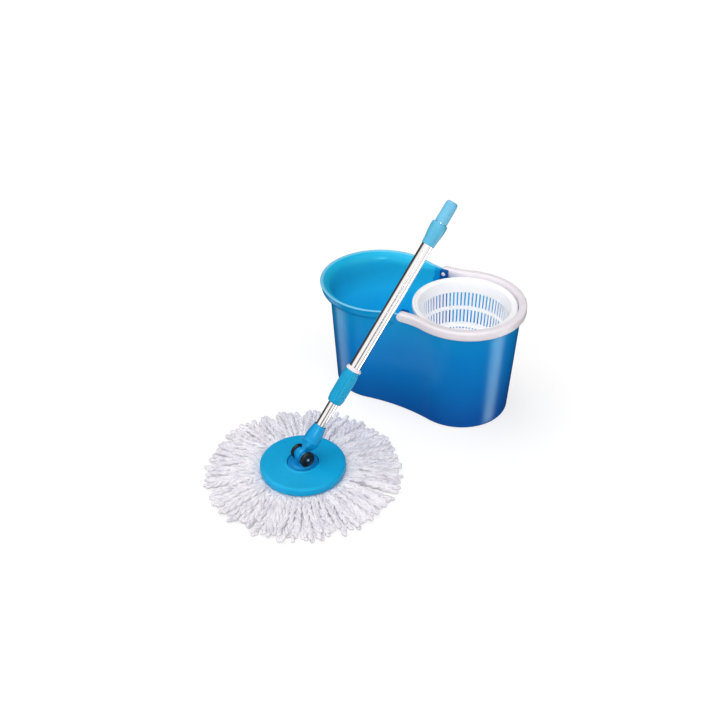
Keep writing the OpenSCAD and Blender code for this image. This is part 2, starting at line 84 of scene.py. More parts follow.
# How far the bail's ears stand above the rim
EAR_RISE = 4.0
RIM_H = corners("bucket_shell")[1].z - EAR_RISE

joints = {joint["name"]: joint for joint in frame["joints"]}
hinge = Vector(joints["pole_tilt"]["pos_m"]) / MM
pole_axis = Vector(joints["pole_press"]["axis"]).normalized()
pin_axis = Vector(joints["pole_tilt"]["axis"]).normalized()
bail_pivot = Vector(joints["bail_swing"]["pos_m"]) / MM
head_centre = Vector(joints["head_spin"]["pos_m"]) / MM
head_centre.z = 0


def frame_of(origin, x, y, z):
    """Matrix that puts a local frame with these axes at origin."""
    return Matrix.Translation(origin) @ Matrix((x, y, z)).transposed().to_4x4()


# Pole frame: origin on the tilt hinge, Z up the pole, Y along the hinge pin
POLE = frame_of(hinge, pin_axis.cross(pole_axis), pin_axis, pole_axis)
# Hub frame: origin on the head's axis at the floor, Z up, Y along the hinge pin
HUB = frame_of(head_centre, pin_axis.cross(Vector((0, 0, 1))), pin_axis, Vector((0, 0, 1)))
HEAD = Matrix.Translation(head_centre)


def span(node, place):
    """Lowest and highest Z and the largest radius of a CAD node in a local frame."""
    back = place.inverted()
    points = [back @ (v.co / MM) for v in frame["nodes"][node].data.vertices]
    return (min(p.z for p in points), max(p.z for p in points),
            max(math.hypot(p.x, p.y) for p in points))


# ---------------- mesh helpers

# Edges that turn by more than this many degrees stay crisp
SHARP = 38
# Points closer than this, and edges shorter than this, are merged away (metres)
WELD = 1e-6
SLIVER = 1e-7


def in_scene(name, data):
    """Puts a mesh or a light in the scene as an object."""
    thing = bpy.data.objects.new(name, data)
    bpy.context.scene.collection.objects.link(thing)
    return thing


def shade(mesh, sharp=SHARP):
    """Smooth shading with crisp edges."""
    mesh.polygons.foreach_set("use_smooth", [True] * len(mesh.polygons))
    mesh.set_sharp_from_angle(angle=math.radians(sharp))


def make(name, verts, faces, place=None):
    """A welded and shaded mesh object from points in millimetres and faces."""
    place = place or Matrix.Identity(4)
    mesh = bpy.data.meshes.new(name)
    mesh.from_pydata([(place @ Vector(v)) * MM for v in verts], [], faces)
    bm = bmesh.new()
    bm.from_mesh(mesh)
    bmesh.ops.remove_doubles(bm, verts=bm.verts, dist=WELD)
    bmesh.ops.dissolve_degenerate(bm, edges=bm.edges, dist=SLIVER)
    bmesh.ops.recalc_face_normals(bm, faces=bm.faces)
    bm.to_mesh(mesh)
    bm.free()
    shade(mesh)
    return in_scene(name, mesh)


def apply_modifiers(piece, sharp=SHARP):
    """Turns the piece's modifiers into its mesh."""
    graph = bpy.context.evaluated_depsgraph_get()
    mesh = bpy.data.meshes.new_from_object(piece.evaluated_get(graph))
    piece.modifiers.clear()
    piece.data = mesh
    shade(mesh, sharp)
    return piece


def bevel(piece, width, segments=2, angle=35):
    """Rounds the piece's edges."""
    edge = piece.modifiers.new("Edges", "BEVEL")
    edge.width = width * MM
    edge.segments = segments
    edge.limit_method = "ANGLE"
    edge.angle_limit = math.radians(angle)
    edge.harden_normals = False
    return apply_modifiers(piece)


def fuse(piece, voxel, passes):
    """Joins a piece's overlapping solids into one moulded skin with small fillets."""
    skin = piece.modifiers.new("Skin", "REMESH")
    skin.mode = "VOXEL"
    skin.voxel_size = voxel * MM
    soften = piece.modifiers.new("Soften", "SMOOTH")
    soften.iterations = passes
    soften.factor = 0.5
    return apply_modifiers(piece, sharp=60)


def join(name, pieces):
    """One object from several."""
    bm = bmesh.new()
    for piece in pieces:
        bm.from_mesh(piece.data)
    mesh = bpy.data.meshes.new(name)
    bm.to_mesh(mesh)
    bm.free()
    for piece in pieces:
        bpy.data.objects.remove(piece)
    shade(mesh)
    return in_scene(name, mesh)


def rounded(points, segments=4):
    """Polygon whose corners (x, y, fillet) are rounded by short curves."""
    out = []
    count = len(points)
    for i, (x, y, fillet) in enumerate(points):
        corner = Vector((x, y))
        if fillet <= 0:
            out.append((x, y))
            continue
        before = Vector(points[i - 1][:2])
        after = Vector(points[(i + 1) % count][:2])
        start = corner + (before - corner).normalized() * fillet
        end = corner + (after - corner).normalized() * fillet
        for k in range(segments + 1):
            t = k / segments
            p = start * (1 - t) ** 2 + corner * 2 * t * (1 - t) + end * t ** 2
            out.append((p.x, p.y))
    return out


def lathe(profile, steps, ripple=None):
    """Closed profile of (radius, height) turned round Z.

    ripple(angle, radius, height) may change a radius.
    """
    verts, faces = [], []
    count = len(profile)
    for i in range(steps):
        angle = TURN * i / steps
        for r, z in profile:
            radius = ripple(angle, r, z) if ripple and r > 0 else r
            verts.append((radius * math.cos(angle), radius * math.sin(angle), z))
    for i in range(steps):
        j = (i + 1) % steps
        for k in range(count):
            m = (k + 1) % count
            if profile[k][0] <= 0 and profile[m][0] <= 0:
                continue
            faces.append((i * count + k, j * count + k, j * count + m, i * count + m))
    return verts, faces


def loft(rings, capped=True):
    """Skin through rings of equal point counts, with flat ends."""
    count = len(rings[0])
    verts = [p for ring in rings for p in ring]
    faces = []
    for a in range(len(rings) - 1):
        for k in range(count):
            m = (k + 1) % count
            faces.append((a * count + k, a * count + m, (a + 1) * count + m, (a + 1) * count + k))
    if capped:
        faces.append(tuple(range(count))[::-1])
        faces.append(tuple((len(rings) - 1) * count + k for k in range(count)))
    return verts, faces


def box_shape(low, high):
    """Corner points and faces of a box."""
    xs, ys, zs = zip(low, high)
    bottom = [(xs[0], ys[0], zs[0]), (xs[1], ys[0], zs[0]), (xs[1], ys[1], zs[0]), (xs[0], ys[1], zs[0])]
    top = [(x, y, zs[1]) for x, y, _ in bottom]
    return loft([bottom, top])


def disc_shape(centre, axis, radius, depth, chamfer=0.0, steps=64):
    """Cylinder about an axis through its centre, with chamfered ends."""
    axis = Vector(axis).normalized()
    side = axis.orthogonal().normalized()
    other = axis.cross(side)
    rings = []
    for offset, r in ((-depth / 2, radius - chamfer), (-depth / 2 + chamfer, radius),
                      (depth / 2 - chamfer, radius), (depth / 2, radius - chamfer)):
        middle = Vector(centre) + axis * offset
        angles = [TURN * k / steps for k in range(steps)]
        rings.append([tuple(middle + side * r * math.cos(a) + other * r * math.sin(a)) for a in angles])
    return loft(rings)


def together(*shapes):
    """Several (points, faces) shapes as one."""
    verts, faces = [], []
    for points, polygons in shapes:
        start = len(verts)
        verts += points
        faces += [tuple(start + k for k in polygon) for polygon in polygons]
    return verts, faces


def ease(t):
    """Smooth step from 0 to 1."""
    t = max(0.0, min(1.0, t))
    return t * t * (3 - 2 * t)


# ---------------- materials


class Nodes:
    """Short way to add and link shader nodes."""

    def __init__(self, name):
        self.material = bpy.data.materials.new(name)
        self.material.use_nodes = True
        self.tree = self.material.node_tree
        self.shader = self.tree.nodes["Principled BSDF"]

    def add(self, kind, **settings):
        node = self.tree.nodes.new(kind)
        for key, value in settings.items():
            if hasattr(node, key) and key not in node.inputs:
                setattr(node, key, value)
            else:
                node.inputs[key].default_value = value
        return node

    def link(self, source, target):
        self.tree.links.new(source, target)

    def place(self, scale=(1, 1, 1), turn=None):
        """Object coordinates, stretched, and turned into a local frame."""
        coordinates = self.add("ShaderNodeTexCoord")
        mapping = self.add("ShaderNodeMapping")
        if turn is not None:
            mapping.inputs["Rotation"].default_value = turn
        mapping.inputs["Scale"].default_value = scale
        self.link(coordinates.outputs["Object"], mapping.inputs["Vector"])
        return mapping.outputs["Vector"]

    def noise(self, vector, scale, detail=3.0):
        node = self.add("ShaderNodeTexNoise")
        node.inputs["Scale"].default_value = scale
        node.inputs["Detail"].default_value = detail
        self.link(vector, node.inputs["Vector"])
        return node.outputs["Fac"]

    def ramp(self, value, stops):
        """Colour ramp; a stop is (position, colour)."""
        node = self.add("ShaderNodeValToRGB")
        elements = node.color_ramp.elements
        while len(elements) < len(stops):
            elements.new(0.5)
        for element, (position, colour) in zip(elements, stops):
            element.position = position
            element.color = (*colour, 1)
        self.link(value, node.inputs["Fac"])
        return node.outputs["Color"]

    def mix(self, factor, a, b, blend="MIX"):
        """Mixes two colour outputs; factor is a number or an output."""
        node = self.add("ShaderNodeMix", data_type="RGBA", blend_type=blend)
        if isinstance(factor, (int, float)):
            node.inputs[0].default_value = factor
        else:
            self.link(factor, node.inputs[0])
        for socket, value in ((node.inputs[6], a), (node.inputs[7], b)):
            if isinstance(value, tuple):
                socket.default_value = (*value, 1)
            else:
                self.link(value, socket)
        return node.outputs[2]

    def span(self, value, low, high, to_low=0.0, to_high=1.0):
        node = self.add("ShaderNodeMapRange")
        for key, number in (("From Min", low), ("From Max", high), ("To Min", to_low), ("To Max", to_high)):
            node.inputs[key].default_value = number
        self.link(value, node.inputs["Value"])
        return node.outputs["Result"]

    def bump(self, height, strength, distance):
        node = self.add("ShaderNodeBump")
        node.inputs["Strength"].default_value = strength
        node.inputs["Distance"].default_value = distance
        self.link(height, node.inputs["Height"])
        self.link(node.outputs["Normal"], self.shader.inputs["Normal"])


def srgb(red, green, blue):
    """Linear colour from 0-255 display values."""
    return tuple(c / 12.92 if c <= 0.04045 else ((c + 0.055) / 1.055) ** 2.4
                 for c in (red / 255, green / 255, blue / 255))


def moulded(name, colour, roughness=0.32, spread=0.05, grain=900, depth=0.03, gloss=0.35, tint=(1, 1, 1)):
    """Moulded plastic: faint flow marks in the colour, uneven gloss and a fine skin grain."""
    nodes = Nodes(name)
    place = nodes.place()
    flow = nodes.noise(place, 18, 4)
    dark = tuple(c * (1 - spread) for c in colour)
    light = tuple(min(1, c * (1 + spread)) for c in colour)
    nodes.link(nodes.ramp(flow, [(0.3, dark), (0.7, light)]), nodes.shader.inputs["Base Color"])
    nodes.link(nodes.span(nodes.noise(place, 55, 3), 0.3, 0.7, roughness * 0.85, roughness * 1.15),
               nodes.shader.inputs["Roughness"])
    nodes.bump(nodes.noise(place, grain, 2), depth, 0.0002)
    nodes.shader.inputs["Specular IOR Level"].default_value = gloss
    nodes.shader.inputs["Specular Tint"].default_value = (*tint, 1)
    return nodes.material


CYAN_GLOSS = (0.35, 1.0, 1.0)
# Pale blue of the painted highlight along the rim's top edge
RIM_HIGHLIGHT_BLUE = srgb(140, 214, 240)
# The painted highlight along the rim's top edge starts and is full at these depths below the top (metres)
RIM_HIGHLIGHT_LOW, RIM_HIGHLIGHT_HIGH = 0.0022, 0.0004


def bucket_blue_painted_light(name, height, stops, gloss):
    """Glossy polypropylene with painted shade that deepens towards the floor and towards the basket lobe, and
    a painted highlight along the rim's top edge.
    """
    nodes = Nodes(name)
    place = nodes.place()
    coordinates = nodes.add("ShaderNodeTexCoord")
    split = nodes.add("ShaderNodeSeparateXYZ")
    nodes.link(coordinates.outputs["Object"], split.inputs["Vector"])
    # Painted shade: the colour darkens towards the floor and towards the basket lobe
    level = nodes.span(split.outputs["Z"], 0.0, height)
    along = nodes.span(split.outputs["X"], -0.30, 0.10, 0.12, -0.22)
    wobble = nodes.add("ShaderNodeMath", operation="MULTIPLY_ADD")
    nodes.link(nodes.noise(place, 7, 3), wobble.inputs[0])
    wobble.inputs[1].default_value = 0.16
    nodes.link(level, wobble.inputs[2])
    blend = nodes.add("ShaderNodeMath", operation="ADD")
    nodes.link(wobble.outputs["Value"], blend.inputs[0])
    nodes.link(along, blend.inputs[1])
    body = nodes.ramp(blend.outputs["Value"], stops)
    # Painted highlight: a pale band along the top edge of the rim
    edge = nodes.span(split.outputs["Z"], height - RIM_HIGHLIGHT_LOW, height - RIM_HIGHLIGHT_HIGH, 0.0, 0.7)
    nodes.link(nodes.mix(edge, body, RIM_HIGHLIGHT_BLUE), nodes.shader.inputs["Base Color"])
    nodes.link(nodes.span(nodes.noise(place, 40, 4), 0.3, 0.7, 0.20, 0.27), nodes.shader.inputs["Roughness"])
    nodes.bump(nodes.noise(place, 260, 3), 0.02, 0.0003)
    nodes.shader.inputs["Specular IOR Level"].default_value = gloss
    nodes.shader.inputs["Specular Tint"].default_value = (*CYAN_GLOSS, 1)
    return nodes.material


def steel(name, colour, roughness, turn=None, scale=(900, 900, 14)):
    """Metal with fine drawing marks along one direction."""
    nodes = Nodes(name)
    marks = nodes.noise(nodes.place(scale, turn), 1.0, 2)
    patches = nodes.noise(nodes.place(), 30, 3)
    nodes.link(nodes.ramp(patches, [(0.3, tuple(c * 0.94 for c in colour)), (0.7, colour)]),
               nodes.shader.inputs["Base Color"])
    nodes.shader.inputs["Metallic"].default_value = 1.0
    nodes.link(nodes.span(marks, 0.3, 0.7, roughness * 0.7, roughness * 1.3),
               nodes.shader.inputs["Roughness"])
    nodes.bump(marks, 0.012, 0.00005)
    return nodes.material


def microfibre():
    """White chenille yarn: soft and matt, with a fine pile whose hollows carry painted lilac-grey shade."""
    nodes = Nodes("microfibre")
    place = nodes.place()
    clumps = nodes.noise(place, 42, 4)
    base = nodes.ramp(clumps, [(0.25, srgb(216, 213, 222)), (0.55, srgb(236, 234, 239)),
                               (1.0, srgb(244, 242, 246))])
    pile = nodes.noise(place, 620, 3)
    # Painted shade: the pile's low spots, which the bump sinks, are tinted lilac-grey
    painted_pile_shade = nodes.ramp(pile, [(0.30, srgb(222, 220, 230)), (0.52, (1, 1, 1))])
    nodes.link(nodes.mix(0.6, base, painted_pile_shade, "MULTIPLY"), nodes.shader.inputs["Base Color"])
    nodes.bump(pile, 0.55, 0.0011)
    nodes.shader.inputs["Roughness"].default_value = 0.95
    nodes.shader.inputs["Sheen Weight"].default_value = 0.35
    nodes.shader.inputs["Sheen Roughness"].default_value = 0.6
    nodes.shader.inputs["Specular IOR Level"].default_value = 0.15
    return nodes.material


POLE_TURN = POLE.to_3x3().inverted().to_euler()
WHITE = moulded("white_gloss", srgb(236, 230, 236), 0.30, 0.015, 700, 0.02)
PEARL = moulded("basket_white", srgb(251, 251, 253), 0.34, 0.012, 800, 0.02)
DISC_BLUE = moulded("disc_blue", srgb(14, 162, 214), 0.32, 0.05, 900, 0.05, 0.4, CYAN_GLOSS)
HUB_BLUE = moulded("hub_blue", srgb(12, 132, 198), 0.26, 0.07, 900, 0.04, 0.45, CYAN_GLOSS)
SOCKET_BLUE = moulded("socket_blue", srgb(12, 146, 206), 0.24, 0.05, 900, 0.04, 0.5, CYAN_GLOSS)
SLEEVE_BLUE = moulded("sleeve_blue", srgb(18, 154, 202), 0.28, 0.05, 800, 0.04, 0.5, CYAN_GLOSS)
GRIP_BLUE = moulded("grip_blue", srgb(88, 184, 220), 0.34, 0.04, 700, 0.05, 0.4)
GRIP_PALE = moulded("grip_pale_blue", srgb(112, 192, 226), 0.40, 0.04, 700, 0.06)
# Painted shade: the ears are the bucket's plastic, darkened
EAR_SHADED_BLUE = moulded("ear_painted_shade_blue", srgb(6, 84, 156), 0.28, 0.05, 700, 0.03, 0.3, CYAN_GLOSS)
BLACK = moulded("black_cap", srgb(22, 21, 24), 0.30, 0.2, 900, 0.05)
GREY = moulded("grey_nylon", srgb(176, 178, 182), 0.45, 0.04, 700, 0.05)
# Bucket colours from the floor to the rim, deepened towards the floor as painted shade
BODY_SHADE_STOPS = [(0.0, srgb(12, 84, 166)), (0.35, srgb(6, 114, 192)),
              (0.65, srgb(6, 128, 204)), (0.95, srgb(10, 152, 216))]
# Painted light: the inside is a much lighter copy of the same plastic
INSIDE_LIT_STOPS = [(0.0, srgb(6, 160, 236)), (0.4, srgb(14, 192, 250)),
                (0.8, srgb(40, 206, 250)), (1.0, srgb(30, 178, 222))]
BODY_SHADED_BLUE = bucket_blue_painted_light("bucket_blue_painted_light", RIM_H * MM, BODY_SHADE_STOPS, 0.4)
INSIDE_LIT_BLUE = bucket_blue_painted_light("bucket_inside_lit_blue", RIM_H * MM, INSIDE_LIT_STOPS, 0.4)
STAINLESS = steel("stainless_tube", (0.88, 0.865, 0.86), 0.15, POLE_TURN, (900, 900, 6))
ROD_STEEL = steel("drive_rod_steel", (0.70, 0.69, 0.68), 0.28, POLE_TURN)
ZINC = steel("zinc_steel", (0.72, 0.73, 0.75), 0.32, None, (500, 500, 40))
BRASS = steel("bush_brass", (0.80, 0.60, 0.28), 0.30, None, (500, 500, 40))
YARN = microfibre()


def finished(piece, body, material, slot, *replaced):
    """Gives a piece its material (None keeps its own) and body, and hides the CAD nodes it stands for. The
    slot is not used.
    """
    if material:
        piece.data.materials.clear()
        piece.data.materials.append(material)
    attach(piece, body)
    if replaced:
        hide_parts(*replaced)
    return piece


def dress(node, material):
    """Gives a CAD node that stays its better material."""
    mesh = frame["nodes"][node].data
    mesh.materials.clear()
    mesh.materials.append(material)


# ---------------- bucket

WALL = 3.0
FLOOR_T = 4.0
LOBE_GAP = 182.5
WATER_BASE_R = 90.0
WATER_RIM_R = 105.5
BASKET_BASE_R = 98.0
BASKET_RIM_R = 110.5
WAIST_PINCH = 6.0
LIP_OUT = 16.5
LIP_H = 27.0
SEAT_DROP = 14.7
SEAT_Z = RIM_H - SEAT_DROP
BAIL_W = 16.0
BAIL_H = corners("handle_bail")[1].z - corners("handle_bail")[0].z
# The rim steps down here, over twice STEP_HALF
STEP_X = bail_pivot.x - BAIL_H / 2 - 3.5
STEP_HALF = 1.6
EAR_OUT = corners("bail_pivot_pins")[1].y - BAIL_W + 0.5
EAR_T = 6.5
EAR_WALL_Y = 95.5
# Depth below the rim at which the lip's outside is upright
LIP_UPRIGHT = 8.5
# The lip's inside as a funnel: depth below the rim, share of LIP_OUT
FUNNEL = ((0.8, 0.94), (2, 0.81), (3.5, 0.64), (5.5, 0.47), (8, 0.31), (11, 0.18), (14.5, 0.09),
          (19, 0.03), (24, 0))
FUNNEL_H = FUNNEL[-1][0]


def arc(cx, cy, r, start, end, n):
    """Points along an arc, its end left out."""
    angles = (start + (end - start) * i / n for i in range(n))
    return [(cx + r * math.cos(a), cy + r * math.sin(a)) for a in angles]


def waist_radius(a, b, w):
    """Radius of the arcs that join lobes of radius a and b with a waist of half-width w."""
    x = (a * a - b * b - LOBE_GAP ** 2) / (2 * LOBE_GAP)
    k = (a - b) / LOBE_GAP
    p = b - x * k - w
    q = b * b - x * x - w * w
    return -q / (2 * p) if abs(k) < 0.001 else (p - math.sqrt(p * p + k * k * q)) / (k * k)


def outline(a, b, w, grow, lobe_points=90, waist_points=72):
    """Plan of the bucket: two lobes and two waist arcs."""
    r = waist_radius(a, b, w)
    x = ((a + r) ** 2 - (b + r) ** 2 - LOBE_GAP ** 2) / (2 * LOBE_GAP)
    tb = math.atan2(w + r, x)
    ta = math.atan2(w + r, x + LOBE_GAP)
    return (arc(0, 0, b + grow, -tb, tb, lobe_points)
            + arc(x, w + r, r - grow, tb - math.pi, ta - math.pi, waist_points)
            + arc(-LOBE_GAP, 0, a + grow, ta, TURN - ta, lobe_points)
            + arc(x, -w - r, r - grow, math.pi - ta, math.pi - tb, waist_points))


def bucket_outline(z, grow, lip):
    """Plan of the bucket at a height, grown all round, and by the lip at the water lobe."""
    up = z / RIM_H
    water = WATER_BASE_R + (WATER_RIM_R - WATER_BASE_R) * up
    lobe = BASKET_BASE_R + (BASKET_RIM_R - BASKET_BASE_R) * up
    return outline(water + lip, lobe, min(water, lobe) - WAIST_PINCH, grow)


def flare(z):
    """Extra radius of the lip: a quarter of an ellipse."""
    low, end = RIM_H - LIP_H, RIM_H - LIP_UPRIGHT
    s = max(0.0, min(1.0, (z - low) / (end - low)))
    return LIP_OUT * math.sqrt(1 - (1 - s) ** 2)


def bucket_levels(top):
    """Levels (height, growth, lip) from the foot up the outside, over the rim and down to the inner floor."""
    bead = 1.6 * (top - SEAT_Z) / SEAT_DROP
    low = RIM_H - LIP_H
    foot = [(0, -4.4), (0.25, -3.2), (0.9, -1.9), (2.1, -0.8), (3.8, -0.15), (6, 0)]
    walls = [(6 + (low - 6) * i / 14, 0) for i in range(1, 14)]
    lips = [low + (top - 5 - low) * s for s in
            (0, 0.008, 0.03, 0.06, 0.1, 0.15, 0.21, 0.28, 0.36, 0.45, 0.55, 0.66, 0.78, 0.9, 1)]
    rim = [(4.3, 0.12), (3.5, 0.55), (2.7, 0.9), (1.8, 1.0), (1.0, 0.75), (0.4, 0.2)]
    levels = [(z, grow, 0) for z, grow in foot + walls]
    levels += [(z, 0, flare(z)) for z in lips]
    levels += [(top - drop, bead * share, LIP_OUT) for drop, share in rim]
    levels += [(top, -0.9, LIP_OUT), (top, -1.9, LIP_OUT)]
    levels += [(top - drop, -WALL, LIP_OUT * share) for drop, share in FUNNEL]
    inside = [top - FUNNEL_H - (top - FUNNEL_H - FLOOR_T - 10) * i / 14 for i in range(1, 15)]
    levels += [(z, -WALL, 0) for z in inside]
    fillet = [(7, -3.3), (4.4, -4.2), (2.4, -5.8), (1.0, -8), (0.25, -11), (0, -15)]
    levels += [(FLOOR_T + z, grow, 0) for z, grow in fillet]
    return levels


def bucket_body():
    """Twin-lobe tub. The rim steps down round the basket lobe, where the bail rests."""
    plan = bucket_outline(SEAT_Z, 0, 0)
    tops = [SEAT_Z + SEAT_DROP * ease((STEP_X + STEP_HALF - x) / (2 * STEP_HALF)) for x, _ in plan]
    skins = {}
    for top in sorted(set(tops)):
        skins[top] = [[(x, y, z) for x, y in bucket_outline(z, grow, lip)]
                      for z, grow, lip in bucket_levels(top)]
    count = len(skins[tops[0]])
    rings = [[skins[top][k][i] for i, top in enumerate(tops)] for k in range(count)]
    body = make("bucket_body", *loft(rings))
    body.data.materials.append(BODY_SHADED_BLUE)
    body.data.materials.append(INSIDE_LIT_BLUE)
    lobes = [(0, BASKET_BASE_R, BASKET_RIM_R), (-LOBE_GAP, WATER_BASE_R, WATER_RIM_R)]
    # Faces that look into the lobes, and the inner floor, take the lighter copy with painted light
    for face in body.data.polygons:
        x, y, z = face.center / MM
        inward = any((face.normal.x * (cx - x) - face.normal.y * y) > 0.1 * math.hypot(cx - x, y)
                     and math.hypot(x - cx, y) < low + (high + LIP_OUT - low) * z / RIM_H
                     for cx, low, high in lobes)
        face.material_index = 1 if inward or (face.normal.z > 0.9 and z < 30) else 0
    return body


def bucket_ears():
    """Ears inside the rim at the waist that hold the bail's pivot pins, each with a foot on the wall."""
    half, crown, foot = 8.5, RIM_H + 3.6, SEAT_Z - 20
    x0, x1 = bail_pivot.x - half, bail_pivot.x + half
    parts = []
    for side in (-1, 1):
        y_in, y_out, wall_y = side * (EAR_OUT - EAR_T), side * EAR_OUT, side * EAR_WALL_Y
        face = rounded([(x0, foot + 3, 2), (x1, foot + 3, 2), (x1, crown, 4), (x0, crown, 4)], 6)
        tab = make("ear_tab", *loft([[(x, y, z) for x, z in face] for y in (y_in, y_out)]))
        parts.append(bevel(tab, 0.7, 3))
        block = box_shape((x0 + 0.5, min(y_in, wall_y), foot), (x1 - 0.5, max(y_in, wall_y), SEAT_Z - 1.5))
        parts.append(bevel(make("ear_foot", *block), 0.8, 3))
        boss = disc_shape((bail_pivot.x, y_in - side * 0.4, bail_pivot.z), (0, 1, 0), 6.4, 1.4, 0.5)
        parts.append(make("ear_boss", *boss))
    parts.append(make("post_boss", *lathe(rounded([(0, 3, 0), (12, 3, 0), (12, 14, 1), (0, 14, 0)]), 64)))
    return join("bail_ears", parts)


def pivot_pins():
    """White pins with domed heads that carry the bail."""
    length = corners("bail_pivot_pins")[1].y - EAR_OUT + EAR_T
    profile = rounded([(0, -2.4, 0), (3.2, -2.2, 1.4), (4.6, -0.6, 0.6), (4.6, 0, 0), (3, 0, 0),
                       (3, length, 0.8), (0, length, 0)])
    pins = []
    for side in (-1, 1):
        place = frame_of(Vector((bail_pivot.x, side * (EAR_OUT - EAR_T), bail_pivot.z)),
                         Vector((side, 0, 0)), Vector((0, 0, -1)), Vector((0, side, 0)))
        pins.append(make("pin", *lathe(profile, 48), place=place))
    return join("bail_pins", pins)


finished(bucket_body(), "bucket", None, "bucket_plastic", "bucket_shell")
finished(bucket_ears(), "bucket", EAR_SHADED_BLUE, "bucket_plastic", "bucket_shell")
finished(pivot_pins(), "bucket", WHITE, "white_plastic", "bail_pivot_pins")

# ---------------- bail

BAIL_R = corners("handle_bail")[1].x - BAIL_W / 2
BAIL_EDGE = 5.5
LEG_Y = EAR_OUT + 0.5 + BAIL_W / 2
BEND_X = bail_pivot.x + 10.5


def bail_plan(o):
    """Plan of the bar at an offset o outwards from its centre line, from the near eye to the far one."""
    bend_r = (BEND_X ** 2 + LEG_Y ** 2 - BAIL_R ** 2) / (2 * (BAIL_R - LEG_Y))
    far = LEG_Y + bend_r
    t = math.atan2(far, BEND_X)
    return ([(bail_pivot.x, -LEG_Y - o)]
            + arc(BEND_X, -far, bend_r - o, math.pi / 2, math.pi - t, 14)
            + arc(0, 0, BAIL_R + o, -t, t, 120)
            + arc(BEND_X, far, bend_r - o, t - math.pi, -math.pi / 2, 14)
            + [(BEND_X, LEG_Y + o), (bail_pivot.x, LEG_Y + o)])


def handle_bail():
    """U-shaped bar of rounded section whose ends are round eyes on the pivot pins."""
    half_w, half_h = BAIL_W / 2, BAIL_H / 2
    section = rounded([(half_w, -half_h, BAIL_EDGE), (half_w, half_h, BAIL_EDGE),
                       (-half_w, half_h, BAIL_EDGE), (-half_w, -half_h, BAIL_EDGE)], 7)
    plans = [bail_plan(o) for o, _ in section]
    rings = [[(plan[i][0], plan[i][1], bail_pivot.z + h) for plan, (_, h) in zip(plans, section)]
             for i in range(len(plans[0]))]
    end_r = half_h - 0.1
    turns = [math.radians(a) for a in (12, 24, 36, 48, 60, 70, 79)]

    def eye(ring, turn):
        side_y = sum(y for _, y, _ in ring) / len(ring)
        narrow = 1 - 0.12 * math.sin(turn) ** 4
        return [(bail_pivot.x - end_r * math.sin(turn), side_y + (y - side_y) * narrow,
                 bail_pivot.z + (z - bail_pivot.z) * math.cos(turn)) for _, y, z in ring]

    first = [eye(rings[0], turn) for turn in reversed(turns)]
    last = [eye(rings[-1], turn) for turn in turns]
    return make("bail_bar", *loft(first + rings + last))


finished(handle_bail(), "bail", WHITE, "white_plastic", "handle_bail")

# ---------------- wringer basket

FLANGE_R = BAIL_R - BAIL_W / 2 - 1.5
MOUTH_R = FLANGE_R - 10.5
FLANGE_Z = corners("basket")[1].z
# The hexagonal socket hangs this far below the floor
SOCKET_DROP = 18.0
SOCKET_R = 17.0
HEX_R = 14.2
BASKET_FLOOR = corners("basket")[0].z + SOCKET_DROP
BASKET_FLOOR_R = 85.0
BASKET_WALL = 2.2
SLOT_COUNT = 72
SLOT_W = 3.2
# Radius at which the slots have their width
SLOT_R = 88.0
SLOT_ROWS = ((96, 67), (59, 28))
FLOOR_SLOT = (70, 77)


def basket_section():
    """Half-section of the basket, and the pairs of points between which its slots lie."""
    f, w, out = BASKET_FLOOR, BASKET_WALL, BASKET_FLOOR_R
    low, high = f + 8, FLANGE_Z - 4

    def wall_r(z):
        return out + (MOUTH_R - out) * (z - low) / (high - low)

    levels = [FLANGE_Z - depth for row in SLOT_ROWS for depth in row]
    corner_out = arc(out - 6, f + 6, 6, -math.pi / 2, 0, 6)
    corner_in = arc(out - 6, f + 6, 6 - w, 0, -math.pi / 2, 6)
    outside = [(0, f), (30, f), (FLOOR_SLOT[0], f), (FLOOR_SLOT[1], f)] + corner_out + [(out, low)]
    outside += [(wall_r(z), z) for z in levels] + [(wall_r(high - 8), high - 8), (wall_r(high), high)]
    flange = [(FLANGE_R - w, high, 1), (FLANGE_R - w, high - 5, 0.5), (FLANGE_R, high - 5, 0.6),
              (FLANGE_R, FLANGE_Z, 2.4), (FLANGE_R - 5.4, FLANGE_Z, 0.8),
              (FLANGE_R - 6.6, FLANGE_Z - 1.7, 0.6), (MOUTH_R - w + 1.8, FLANGE_Z - 1.7, 1.4),
              (MOUTH_R - w, FLANGE_Z - 3.8, 0)]
    rim = rounded([(wall_r(high), high, 0)] + flange)[1:]
    inside = [(wall_r(z) - w, z) for z in reversed(levels)] + [(out - w, low)] + corner_in
    inside += [(FLOOR_SLOT[1], f + w), (FLOOR_SLOT[0], f + w), (18, f + w), (15.6, f + w + 2), (14, f + 13),
               (12, f + 16.4), (8, f + 18), (0, f + 18)]
    section = outside + rim + inside

    def index(point, start):
        return min(range(start, len(section)),
                   key=lambda k: (section[k][0] - point[0]) ** 2 + (section[k][1] - point[1]) ** 2)

    slots = []
    inner_start = len(outside) + len(rim)
    for deep, shallow in SLOT_ROWS:
        z0, z1 = FLANGE_Z - deep, FLANGE_Z - shallow
        slots.append((index((wall_r(z0), z0), 0), index((wall_r(z1), z1), 0),
                      index((wall_r(z0) - w, z0), inner_start), index((wall_r(z1) - w, z1), inner_start)))
    slots.append((2, 3, index((FLOOR_SLOT[0], f + w), inner_start),
                  index((FLOOR_SLOT[1], f + w), inner_start)))
    return section, slots


